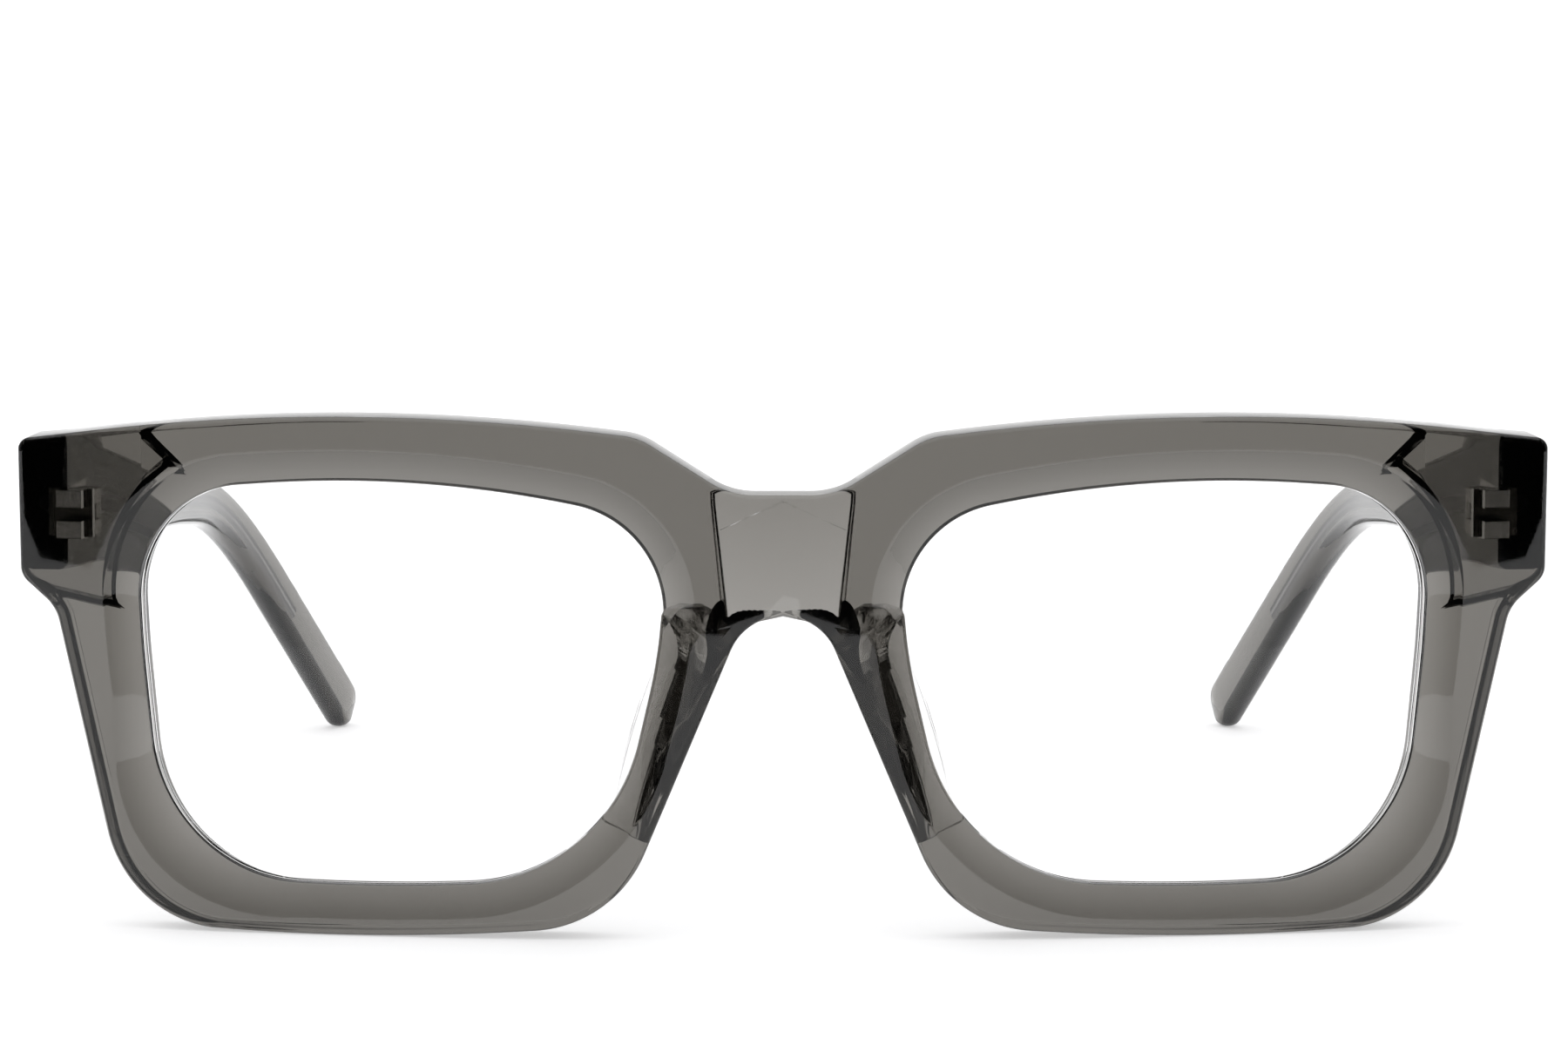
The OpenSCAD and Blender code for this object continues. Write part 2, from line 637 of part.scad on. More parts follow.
front_frame();
lens(1);  // lens_left
lens(0);  // lens_right
nose_pad(1);  // nose_pad_left
nose_pad(0);  // nose_pad_right
front_hinge(1);  // front_hinge_left
front_hinge(0);  // front_hinge_right
hinge_screw(1);  // hinge_screw_left
hinge_screw(0);  // hinge_screw_right
temple_hinge(1);  // temple_hinge_left
temple_hinge(0);  // temple_hinge_right
temple(1);  // temple_left
temple(0);  // temple_right
temple_core(1);  // temple_core_left
temple_core(0);  // temple_core_right
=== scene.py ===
from math import acos, asin, atan2, ceil, cos, degrees, hypot, pi, radians, sin, sqrt, tan

import bmesh
import bpy
import numpy as np
from mathutils import Matrix, Vector


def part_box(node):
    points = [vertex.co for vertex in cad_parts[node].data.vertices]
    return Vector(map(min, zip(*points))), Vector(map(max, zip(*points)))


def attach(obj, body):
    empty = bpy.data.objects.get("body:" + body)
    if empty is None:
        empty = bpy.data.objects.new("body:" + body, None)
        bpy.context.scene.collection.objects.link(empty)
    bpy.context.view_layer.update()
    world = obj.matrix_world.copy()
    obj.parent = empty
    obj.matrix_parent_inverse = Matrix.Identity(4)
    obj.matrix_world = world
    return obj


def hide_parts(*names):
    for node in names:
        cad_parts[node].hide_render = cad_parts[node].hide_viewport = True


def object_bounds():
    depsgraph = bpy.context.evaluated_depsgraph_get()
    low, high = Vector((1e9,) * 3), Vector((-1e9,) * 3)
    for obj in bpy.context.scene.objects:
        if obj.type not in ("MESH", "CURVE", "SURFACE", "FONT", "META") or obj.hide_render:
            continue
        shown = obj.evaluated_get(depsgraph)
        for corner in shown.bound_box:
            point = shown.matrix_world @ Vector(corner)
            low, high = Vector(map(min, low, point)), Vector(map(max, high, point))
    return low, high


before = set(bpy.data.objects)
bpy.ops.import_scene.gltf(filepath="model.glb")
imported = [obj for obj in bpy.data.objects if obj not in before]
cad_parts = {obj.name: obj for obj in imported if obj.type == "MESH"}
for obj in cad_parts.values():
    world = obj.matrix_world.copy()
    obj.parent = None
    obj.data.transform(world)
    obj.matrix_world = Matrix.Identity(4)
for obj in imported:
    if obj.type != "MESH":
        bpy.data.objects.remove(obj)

cad_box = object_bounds()
MM = 0.001
scene = bpy.context.scene

# Driving sizes of the glasses in millimetres and degrees, as in the solids
# The front: its openings, outline, thickness, roundings and the channel in its bridge
lens_w = 51.5
lens_h = 39.2
bridge_gap = 23.0
bevel_w = 3.0
bevel_d = 1.0
brow_h = 6.2
sill_h = 5.1
end_w = 12.2
end_h = 13.3
end_drop = 3.1
side_w = 7.9
low_out = 1.3
bridge_drop = 7.4
bridge_h = 11.7
front_t = 5.6
block_t = 1.2
curve_r = 260.0
edge_r = 0.7
arch_r = 1.8
arch_u = 3.6
nose_out = 4.8
nose_low = 1.3
scoop_w = 13.4
scoop_d = 1.5
side_lean = 8.0
# The lenses and their groove, and the nose pads
lens_t = 1.9
groove_d = 0.6
groove_w = 1.5
groove_t = 3.0
pad_l = 23.5
pad_t = 4.5
pad_w = 5.8
# The temples, from the end piece to the tip, and their wire cores
temple_straight = 98.0
temple_drop = 46.0
temple_t = 4.2
tip_t = 2.8
temple_h = 5.2
tip_h = 5.6
bend_z = 29.5
bend_r = 40.0
close_in = 5.4
tip_in = 19.0
core_d = 1.4
# The hinges, and the gaps between pieces
stack_h = 4.4
knuckle_r = 1.3
hinge_drop = 7.4
hinge_in = 5.1
plate_w = 4.4
plate_t = 0.9
foot_d = 3.0
seat = 0.06
joint_gap = 0.1

# Key lines of the flat pattern, right half
nasal_u = bridge_gap / 2
side_u = nasal_u + lens_w
outer_u = side_u + end_w
mid_u = nasal_u + lens_w / 2
lens_top = sill_h + lens_h
brow_z = lens_top + brow_h
mid_z = sill_h + lens_h / 2
bridge_z = brow_z - bridge_drop
arch_z = bridge_z - bridge_h
end_top = brow_z - end_drop
end_low = end_top - end_h
low_u = side_u + low_out
side_mid_u = side_u + side_w
nose_low_u = nasal_u + nose_out
end_t = front_t + block_t
# The middle of the opening, from which rays go out
hub = np.array([mid_u, mid_z])

# Corner points and radii of the opening and of the half outline, as (u, z, radius)
opening = [
    (nasal_u + 0.2, lens_top - 4, 10.5),
    (mid_u - 2, lens_top + 0.6, 110),
    (side_u + 0.8, lens_top - 1.8, 11),
    (side_u, mid_z + 3, 90),
    (side_u - 2.2, sill_h + 0.2, 15),
    (mid_u + 3, sill_h - 0.5, 200),
    (nasal_u + 5.6, sill_h + 0.6, 18),
    (nasal_u, mid_z + 5, 50),
]
outline = [
    (0, bridge_z, 0),
    (5, bridge_z, 8),
    (nasal_u + 2.4, brow_z - 1.9, 7),
    (mid_u + 5, brow_z + 1.3, 200),
    (outer_u, end_top, 1.2),
    (outer_u - 0.2, end_low, 2),
    (side_mid_u + 0.5, end_low - 3, 4),
    (low_u, 0.8, 12),
    (mid_u + 5, -0.5, 250),
    (nose_low_u, nose_low, 12.5),
    (arch_u, arch_z, 5.3),
    (0, arch_z, 0),
]

# The most a chord may lie from its arc in millimetres, and turn from the next one in degrees
ARC_SAG = 0.003
ARC_TURN = 8.0
# The least radius of a corner that shrinks
LEAST_R = 0.15
# A margin for rounding errors, in degrees or millimetres
TINY = 0.001


def unit(v):
    """The direction of a vector, with a length of 1."""
    return v / np.linalg.norm(v)


def smooth(v):
    """A soft step that goes from 0 to 1 with its value."""
    v = min(1.0, max(0.0, v))
    return v * v * (3 - 2 * v)


smooth_all = np.vectorize(smooth)


def mix(a, b, f):
    """What lies a share f of the way from a to b."""
    return a + (b - a) * f


def catmull(points, steps):
    """A smooth open curve through points."""
    p = [2 * np.array(points[0]) - np.array(points[1])] + [np.array(q) for q in points]
    p.append(2 * p[-1] - p[-2])
    out = []
    for a, b, c, d in zip(p, p[1:], p[2:], p[3:]):
        square, cube = 2 * a - 5 * b + 4 * c - d, 3 * b - a - 3 * c + d
        for k in range(steps):
            t = k / steps
            out.append(0.5 * (2 * b + (c - a) * t + square * t * t + cube * t ** 3))
    out.append(p[-2])
    return out


def corner(p, v, n, r):
    """Points of one rounded corner at v, coming from p and leaving to n."""
    a, b = unit(p - v), unit(n - v)
    inside = acos(max(-1.0, min(1.0, float(a @ b))))
    bend = pi - inside
    side = -1 if a[0] * b[1] - a[1] * b[0] > 0 else 1
    centre = v + unit(a + b) * r / sin(inside / 2)
    start = v + a * r / tan(inside / 2) - centre
    turn = min(radians(ARC_TURN), 2 * acos(1 - min(0.5, ARC_SAG / r)))
    steps = max(1, ceil(bend / turn))
    out = []
    for k in range(steps + 1):
        s, c = sin(side * bend * k / steps), cos(side * bend * k / steps)
        out.append(centre + np.array([start[0] * c - start[1] * s, start[0] * s + start[1] * c]))
    return out


def rounded(path):
    """The points of a path of (u, z, radius) corners with each corner rounded."""
    out = []
    for i, (u, z, r) in enumerate(path):
        v = np.array([u, z], float)
        before, after = path[i - 1], path[(i + 1) % len(path)]
        out += [v] if r == 0 else corner(np.array(before[:2], float), v, np.array(after[:2], float), r)
    return out


def grown_corner(p, v, n, d):
    """A corner moved outwards by d, with the radius that keeps it parallel."""
    a = unit(np.array(v[:2], float) - np.array(p[:2], float))
    b = unit(np.array(n[:2], float) - np.array(v[:2], float))
    left_a, left_b = np.array([-a[1], a[0]]), np.array([-b[1], b[0]])
    left = unit(left_a + left_b)
    convex = a[0] * b[1] - a[1] * b[0] < 0
    out = np.array(v[:2], float) + left * d / float(left @ left_a)
    return (out[0], out[1], max(LEAST_R, v[2] + (d if convex else -d)))


def grown_opening(d):
    """The opening's points, moved out into the rim by d."""
    n = len(opening)
    return rounded([grown_corner(opening[i - 1], opening[i], opening[(i + 1) % n], d) for i in range(n)])


def shrunk_outline(d):
    """The half outline's points, moved inwards by d."""
    inner = [grown_corner(p, v, n, -d) for p, v, n in zip(outline, outline[1:], outline[2:])]
    return rounded([(0, bridge_z - d, 0)] + inner + [(0, arch_z + d, 0)])


def ray_angle(p, top=None):
    """The angle in degrees at which a ray from the hub meets a point, not above the top one."""
    a = degrees(atan2(p[1] - hub[1], p[0] - hub[0]))
    return a - 360 if top is not None and a > top + TINY else a


bridge_angle = ray_angle((0, bridge_z))
arch_angle = ray_angle((0, arch_z), bridge_angle)

# Degrees between even rays, between an even ray and any other, and between two corner points
RAY_STEP = 0.9
RAY_GAP = 0.35
CORNER_GAP = 0.03
# Just over the arch's rounding, the web between the halves gets no even ray
WEB_CLEAR = 0.5


def stations():
    """Falling angles of the rays across the half front: the outline's points, then what fits between."""
    key = [ray_angle(p, bridge_angle) for p in shrunk_outline(0)]
    key = [a for a in key if a > arch_angle - TINY]
    key.append(bridge_angle)
    even = list(np.arange(bridge_angle, bridge_angle - 360, -RAY_STEP))
    even += [ray_angle(p, bridge_angle) for p in grown_opening(0)]
    out = sorted(set(round(a, 5) for a in key), reverse=True)
    kept = [out[0]]
    for a in out[1:]:
        if kept[-1] - a > CORNER_GAP or a == out[-1]:
            kept.append(a)
    web_low = ray_angle((0, arch_z + arch_r + WEB_CLEAR), bridge_angle)
    for a in even:
        clear = a > arch_angle or a < web_low
        if clear and all(abs(a - b) > RAY_GAP for b in kept):
            kept.append(a)
    return sorted(kept, reverse=True)


angles = np.array(stations())
count = len(angles)
on_web = angles < arch_angle - TINY
arch_station = int(np.argmin(np.abs(angles - arch_angle)))
rays = np.stack([np.cos(np.radians(angles)), np.sin(np.radians(angles))], 1)


def ray_hits(path, closed):
    """Where each ray first crosses a path, or else where the ray before it did."""
    p = np.array(path) - hub
    q = np.roll(p, -1, 0)
    if not closed:
        p, q = p[:-1], q[:-1]
    out = np.zeros((count, 2))
    for i, d in enumerate(rays):
        off_p = d[0] * p[:, 1] - d[1] * p[:, 0]
        off_q = d[0] * q[:, 1] - d[1] * q[:, 0]
        crossed = (off_p * off_q <= 1e-12) & (np.abs(off_p - off_q) > 1e-12) & ((p + q) @ d > 0)
        hits = np.nonzero(crossed)[0]
        if len(hits) == 0:
            out[i] = out[i - 1]
            continue
        k = hits[0]
        f = off_p[k] / (off_p[k] - off_q[k])
        out[i] = p[k] + (q[k] - p[k]) * f + hub
    return out


def opening_ring(d):
    """The opening moved outwards by d, as one point on each ray."""
    return ray_hits(grown_opening(d), True)


def outline_ring(d):
    """The outline moved inwards by d, as one point on each ray; on the web, rays end in the middle."""
    ring = ray_hits(shrunk_outline(d), False)
    web_z = hub[1] - hub[0] * np.tan(np.radians(angles))
    ring[on_web] = np.stack([np.zeros(count), web_z], 1)[on_web]
    ring[0] = (0, bridge_z - d)
    ring[arch_station] = (0, arch_z + d)
    return ring


def bent(u, z, t):
    """Points of the flat pattern, t behind its face, on the bent front."""
    a = u / curve_r
    return np.stack([(curve_r - t) * np.sin(a), curve_r - (curve_r - t) * np.cos(a), z], -1)


def at(ring, t):
    """A flat ring on the bent front, t behind the face."""
    return bent(ring[:, 0], ring[:, 1], np.broadcast_to(t, (len(ring),)))


outer = outline_ring(0)

# The end block: where it starts beyond the opening and below the end piece, and how wide it fades
BLOCK_OUT, BLOCK_FADE = 0.5, 2
BLOCK_UNDER, BLOCK_RISE = 2.4, 1.3
block_across = smooth_all((outer[:, 0] - side_u - BLOCK_OUT) / BLOCK_FADE)
block_up = smooth_all((outer[:, 1] - end_low + BLOCK_UNDER) / BLOCK_RISE)
block = block_across * block_up
back = front_t + block_t * block

# The outer side of an end block leans out towards the back, from this share of its width on
LEAN_FROM = 0.6
on_side = smooth_all((outer[:, 0] - side_u - end_w * LEAN_FROM) / (end_w * (1 - LEAN_FROM)))
lean = np.stack([tan(radians(side_lean)) * back * block * on_side, np.zeros(count)], 1)

# The wider rounding of the back edge reaches this far below the arch's top and fades over this height
ARCH_REACH, ARCH_FADE = 5, 3


def back_ring(share):
    """A ring in the rounding of the back edge, which is wider on the arch over the nose."""
    arch = np.where(on_web, 0, (outer[:, 1] < arch_z + TINY) & (outer[:, 0] < nasal_u))
    arch = (arch * smooth_all((outer[:, 1] - arch_z + ARCH_REACH) / ARCH_FADE))[:, None]
    radius = np.where(on_web[:, None], 0, mix(edge_r, arch_r, arch))
    return mix(outline_ring(edge_r * share), outline_ring(arch_r * share), arch) + lean, radius[:, 0]


# How many times as deep as in the solids the bevel is
BEVEL_DEEP = 1.4
# How many times as wide and deep it is at the opening's outer lower corner
CORNER_WIDE, CORNER_DEEP = 1.4, 2.0
# That corner's angle from the hub, and the degrees to both sides over which the bevel changes
CORNER_AT, CORNER_SPAN = -36.0, 36.0
corner_share = smooth_all(1 - np.abs(angles - CORNER_AT) / CORNER_SPAN)


def bevel_ring(d):
    """The opening moved outwards by d, and by more at the outer lower corner."""
    return mix(opening_ring(d), opening_ring(d * CORNER_WIDE), corner_share[:, None])


def groove_depth(z):
    """The depth of the lens and its groove behind the face; a lens curves upright too."""
    return groove_t + (z - mid_z) ** 2 / (2 * curve_r)


def quarter(steps):
    """The sines and cosines of a quarter turn in even steps."""
    turns = [radians(90 * k / steps) for k in range(steps + 1)]
    return [(sin(a), cos(a)) for a in turns]


# Roundings of the bevel's lip and of its ridge on the face
LIP_R = 0.18
RIDGE_R = 0.15
# The step at the back from an end block to the rim, and how wide the same rings lie elsewhere
FLANK_IN, FLANK_W, FLANK_THIN = 4.0, 1.0, 0.6
# Steps of the rounded edges, and shares of the stretches between them
LIP_STEPS = 3
EDGE_STEPS = 6
BEVEL_SHARES = (0.35, 0.7)
RIDGE_SHARES = (-1, -0.4, 0.2, 1)
FACE_SHARES = (0.2, 0.4, 0.6, 0.8)
FLANK_SHARES = (0, 0.15, 0.85, 1)


def front_sections():
    """Rings of the half front, from the bottom of the groove over the face to the back and home again."""
    inner = opening_ring(0)
    groove = groove_depth(inner[:, 1])
    deep = bevel_d * mix(BEVEL_DEEP, CORNER_DEEP, corner_share)
    slope = deep / bevel_w
    wall = np.where(on_web, 0.0, edge_r)
    rings = [at(opening_ring(groove_d), groove), at(inner, groove - groove_w / 2)]
    for s, c in quarter(LIP_STEPS):
        d = LIP_R * (1 - c)
        rings.append(at(bevel_ring(d), deep + LIP_R * (1 - s) - slope * d))
    for f in BEVEL_SHARES:
        d = mix(LIP_R, bevel_w - RIDGE_R, f)
        rings.append(at(bevel_ring(d), deep - slope * d))
    # A short parabola rounds the ridge between bevel and face
    for f in RIDGE_SHARES:
        d = bevel_w + f * RIDGE_R
        rings.append(at(bevel_ring(d), slope * RIDGE_R * (1 - f) ** 2 / 4))
    ridge, edge = bevel_ring(bevel_w + RIDGE_R), outline_ring(edge_r)
    rings += [at(mix(ridge, edge, f), 0) for f in FACE_SHARES]
    first = len(rings)
    for s, c in quarter(EDGE_STEPS):
        rings.append(at(outline_ring(edge_r * (1 - s)), wall * (1 - c)))
    for s, c in quarter(EDGE_STEPS):
        ring, radius = back_ring(1 - c)
        rings.append(at(ring, back - radius * (1 - s)))
    last = len(rings) - 1

    def flank(f):
        thin = opening_ring(bevel_w + FLANK_THIN * (1 - f))
        return mix(thin, opening_ring(FLANK_IN + FLANK_W * (1 - f)), block[:, None])
    rings += [at(mix(ring, flank(0), f), back) for f in FACE_SHARES]
    for f in FLANK_SHARES:
        rings.append(at(flank(f), mix(back, front_t, mix(f, smooth(f), 0.5))))
    for s, c in quarter(EDGE_STEPS - 1):
        rings.append(at(opening_ring(edge_r * (1 - s)), front_t - edge_r * (1 - c)))
    rings.append(at(inner, groove + groove_w / 2))
    return np.stack(rings, 1), first, last


def mesh_object(name, verts, faces):
    """A new object of points and faces in the scene."""
    mesh = bpy.data.meshes.new(name)
    mesh.from_pydata([tuple(v) for v in verts], [], faces)
    mesh.validate()
    obj = bpy.data.objects.new(name, mesh)
    scene.collection.objects.link(obj)
    return obj


def tidy(obj, merge=1e-4, sharp=None):
    """Merges doubled points, drops empty faces and shades the mesh smooth up to an angle."""
    bm = bmesh.new()
    bm.from_mesh(obj.data)
    bmesh.ops.remove_doubles(bm, verts=bm.verts, dist=merge)
    bmesh.ops.dissolve_degenerate(bm, edges=bm.edges, dist=merge)
    loose = [v for v in bm.verts if not v.link_faces]
    bmesh.ops.delete(bm, geom=loose, context="VERTS")
    bmesh.ops.recalc_face_normals(bm, faces=bm.faces)
    bm.to_mesh(obj.data)
    bm.free()
    obj.data.shade_smooth()
    if sharp:
        obj.data.set_sharp_from_angle(angle=radians(sharp))


def cut(obj, cutters):
    """Cuts closed shapes out of a piece for good."""
    for cutter in cutters:
        mod = obj.modifiers.new("cut", "BOOLEAN")
        mod.operation = "DIFFERENCE"
        mod.solver = "MANIFOLD"
        mod.object = cutter
        bpy.context.view_layer.update()
        solid = bpy.data.meshes.new_from_object(obj.evaluated_get(bpy.context.evaluated_depsgraph_get()))
        obj.modifiers.clear()
        old, obj.data = obj.data, solid
        bpy.data.meshes.remove(old)
        bpy.data.objects.remove(cutter)


def loft(name, rings, side):
    """A closed skin over rings of the same number of points; side -1 mirrors it to the left."""
    n, m = len(rings[0]), len(rings)
    verts = [np.array(p) * (side, 1, 1) for ring in rings for p in ring]
    faces = [tuple(range(n)), tuple((m - 1) * n + j for j in reversed(range(n)))]
    for k in range(m - 1):
        for j in range(n):
            a, b = k * n + j, k * n + (j + 1) % n
            faces.append((a, a + n, b + n, b))
    return mesh_object(name, verts, faces)


# The channel in the back of the bridge: tilt of its floor and lean of its walls in degrees
SCOOP_TILT = 4.0
SCOOP_LEAN = 12.0
# How much narrower its half gets down to the arch, and the roundings of its floor and rim
SCOOP_TAPER = 1.3
FLOOR_R = 0.5
RIM_R = 0.25
ROUND_STEPS = 8
FLOOR_PARTS = 4
# How far its cutter reaches past the bridge at both ends and behind it, and other cutters past a face
SCOOP_PAST = 3
SCOOP_BEHIND = 2
CUT_PAST = 1


def scoop_cutter():
    """The channel in the back of the bridge: a flat floor, leaning walls and rounded edges."""
    rings = []
    lean = radians(SCOOP_LEAN)
    turns = [(pi / 2 - lean) * k / ROUND_STEPS for k in range(ROUND_STEPS + 1)]
    for z in (arch_z - SCOOP_PAST, bridge_z + SCOOP_PAST):
        low = front_t - scoop_d + (z - (bridge_z + arch_z) / 2) * tan(radians(SCOOP_TILT))
        half = scoop_w / 2 - SCOOP_TAPER * (bridge_z - z) / bridge_h
        rim = front_t + half ** 2 / (2 * curve_r)
        wide = half + (rim - low) * tan(lean)
        # Centres of the roundings at the foot and at the rim of the wall
        foot = (half + FLOOR_R * (tan(lean) - 1 / cos(lean)), low + FLOOR_R)
        top = (wide + RIM_R * (1 / cos(lean) - tan(lean)), rim - RIM_R)
        right = [(foot[0] + FLOOR_R * sin(a), foot[1] - FLOOR_R * cos(a)) for a in turns]
        right += [(top[0] - RIM_R * sin(a), top[1] + RIM_R * cos(a)) for a in reversed(turns)]
        right.append((right[-1][0], front_t + SCOOP_BEHIND))
        middle = [(half * x / FLOOR_PARTS, low) for x in range(FLOOR_PARTS)]
        left = [(-x, y, z) for x, y in reversed(middle[1:] + right)]
        rings.append(left + [(x, y, z) for x, y in middle + right])
    obj = loft("cutter", rings, 1)
    tidy(obj)
    return obj


def box_cutter(low, high, matrix):
    """A box between two corners in a frame of its own."""
    corners = [(x, y, z) for x in (low[0], high[0]) for y in (low[1], high[1]) for z in (low[2], high[2])]
    obj = mesh_object("cutter", [matrix @ Vector(c) for c in corners],
                      [(0, 1, 3, 2), (4, 6, 7, 5), (0, 4, 5, 1), (2, 3, 7, 6), (0, 2, 6, 4), (1, 5, 7, 3)])
    tidy(obj)
    return obj


# The butt face, cut this deep behind an end piece, and the hinge axis behind it
hinge_z = end_top - hinge_drop
butt_cut = 0.1
axis_clear = 0.2
axis_y = knuckle_r + axis_clear
hinge_u = outer_u - hinge_in
hinge_a = hinge_u / curve_r
hinge_p = bent(hinge_u, 0.0, end_t - butt_cut)

# The front leaf's plate and feet, and one of the three knuckles
plate_in = -knuckle_r
plate_past = 0.2
plate_h = stack_h + plate_past
foot_x, foot_w, foot_h = -0.85, 2.4, 1.6
knuckle_h = (stack_h - 2 * joint_gap) / 3


def hinge_frame(p, turn, side):
    """A frame over p at the hinge's height: x runs outwards and y backwards, before the turn."""
    m = Matrix.Translation((p[0], p[1], hinge_z)) @ Matrix.Rotation(turn, 4, "Z")
    return Matrix.Scale(side, 4, (1, 0, 0)) @ m


def from_butt(p):
    """A point given in the frame of the right butt face."""
    return np.array(hinge_frame(hinge_p, hinge_a, 1) @ Vector(p))


def to_metres(obj):
    """From millimetres with the front's apex at y = 0 to the frame's metres, kept in the solids' box."""
    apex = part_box("front_frame")[0][1]
    for v in obj.data.vertices:
        place = (v.co.x * MM, v.co.y * MM + apex, v.co.z * MM)
        v.co = [min(max(c, low), high) for c, low, high in zip(place, *cad_box)]
    obj.data.update()


# How much narrower than its groove a lens edge is on each side, and shares of the way out to it
EDGE_EASE = 0.1
DOME_SHARES = (0.25, 0.5, 0.75, 0.9)


def lens_piece(name, side):
    """A shell with two curved faces and a V edge that sits in the groove."""
    edge, apex = opening_ring(-seat), opening_ring(groove_d - seat)
    groove = groove_depth(opening_ring(0)[:, 1])
    shoulder = groove_w / 2 - EDGE_EASE

    def dome(f, face):
        p = hub + (edge - hub) * f
        return at(p, groove_depth(p[:, 1]) + face * lens_t / 2)
    rings = [dome(f, -1) for f in DOME_SHARES]
    rings += [at(edge, groove - lens_t / 2), at(edge, groove - shoulder), at(apex, groove)]
    rings += [at(edge, groove + shoulder), at(edge, groove + lens_t / 2)]
    rings += [dome(f, 1) for f in reversed(DOME_SHARES)]
    n = len(rings)
    verts = list(np.stack(rings, 1).reshape(-1, 3))
    verts += [bent(*hub, groove_t + face * lens_t / 2) for face in (-1, 1)]
    faces = []
    for i in range(count):
        k = (i + 1) % count
        faces += [(i * n + j, i * n + j + 1, k * n + j + 1, k * n + j) for j in range(n - 1)]
        faces.append((count * n, i * n, k * n))
        faces.append((count * n + 1, k * n + n - 1, i * n + n - 1))
    obj = mesh_object(name, [v * (side, 1, 1) for v in verts], faces)
    tidy(obj, sharp=35)
    to_metres(obj)
    return obj


# The nose pads stand on a line along the nose side of the rim
pad_top = 1.0
pad_glue = 0.05
pad_inset = 0.4
pad_lead = 0.6
pad_line = unit(np.array([nose_low_u - arch_u, nose_low - arch_z]))
pad_out = np.array([-pad_line[1], pad_line[0]])
# A pad's cross-section from its nose side to its lens side, in shares of its width and height
pad_profile = [(0.1, 0), (0.22, 0.4), (0.48, 0.8), (0.72, 0.98), (0.92, 1), (1.04, 0.9), (1.06, 0.62),
               (1.02, 0.3), (1, 0)]
CURVE_STEPS = 4
PAD_RINGS = 48
# It swells as a half wave, cut short by a share at both ends and raised to a power that fills it out
PAD_ENDS = 0.035
PAD_FULL = 0.6
# The share of its width that its ends keep
PAD_NARROW = 0.5
# Depth of the bed that a pad is cemented into, and the film of cement
PAD_BED = 0.02
PAD_FILM = 0.005


def pad_body(side, foot_y, tall=True):
    """A pad whose foot stands at a depth of the front; without its height, the bed it is cemented into."""
    profile = catmull(pad_profile, CURVE_STEPS)
    rings = []
    for k in range(PAD_RINGS + 1):
        f = k / PAD_RINGS
        swell = sin(pi * mix(PAD_ENDS, 1 - PAD_ENDS, f ** pad_lead)) ** PAD_FULL
        foot = np.array([arch_u, arch_z]) + pad_line * (pad_top + pad_l * f)
        top = front_t + pad_glue + pad_t * swell if tall else front_t + CUT_PAST
        ring = []
        for q in profile:
            u, z = foot + pad_out * (pad_inset + pad_w * mix(PAD_NARROW, 1, swell) * q[0])
            ring.append(bent(u, z, mix(foot_y, top, max(0.0, q[1]))))
        rings.append(ring)
    obj = loft("pad", rings, side)
    tidy(obj, merge=1e-3)
    return obj


# Distances along the edge from the middle of the arch, with the slant's width there
SPLAY_POINTS = [(-2, 1.5), (0, 0.7), (2, 1.5), (4, 3.6), (6, 3.0), (9, 1.7), (18, 1.3), (29, 0.05)]
SPLAY = catmull(SPLAY_POINTS, CURVE_STEPS)
SPLAY_STEP = 0.4
# Depth behind the face at which the slant starts
SPLAY_Y = 1.4


def splay_cutter():
    """The slant of the arch and of the nose sides: the edge opens towards the back."""
    path = [np.array(p, float) for p in shrunk_outline(0)]
    path = [p for p in path if p[0] < nose_low_u and p[1] <= arch_z + TINY][::-1]
    lengths = np.concatenate([[0], np.cumsum([np.linalg.norm(b - a) for a, b in zip(path, path[1:])])])
    top = front_t + pad_t + CUT_PAST

    def point(s):
        """The point at a distance along the edge."""
        return np.array([np.interp(s, lengths, [q[i] for q in path]) for i in (0, 1)])
    rings = []
    for s in np.arange(0, min(SPLAY[-1][0], lengths[-1]), SPLAY_STEP):
        ahead, behind = point(s + SPLAY_STEP), point(max(0, s - SPLAY_STEP))
        along_edge = np.array([1.0, 0.0]) if s == 0 else unit(ahead - behind)
        inward = np.array([-along_edge[1], along_edge[0]])
        wide = float(np.interp(s, [k[0] for k in SPLAY], [k[1] for k in SPLAY]))
        rise = (front_t - SPLAY_Y) / wide
        profile = [(-CUT_PAST, SPLAY_Y), (0.0, SPLAY_Y), (wide, front_t),
                   (wide + (top - front_t) / rise, top), (-CUT_PAST, top)]
        rings.append([bent(*(point(s) + inward * d), y) for d, y in profile])
    rings = [[q * (-1, 1, 1) for q in ring] for ring in rings[:0:-1]] + rings
    obj = loft("cutter", rings, 1)
    tidy(obj)
    return obj


def mark_joined(obj, depth):
    """Marks the cemented faces, which lie at one depth of the bent front; light crosses them unbent."""
    mark = obj.data.attributes.new("joined", "FLOAT", "FACE")
    for face in obj.data.polygons:
        p = face.center
        mark.data[face.index].value = float(abs(curve_r - hypot(p.x, curve_r - p.y) - depth) < PAD_FILM / 2)


# How far out the cutter of a butt face reaches, in widths of the end piece
BUTT_REACH = 0.7


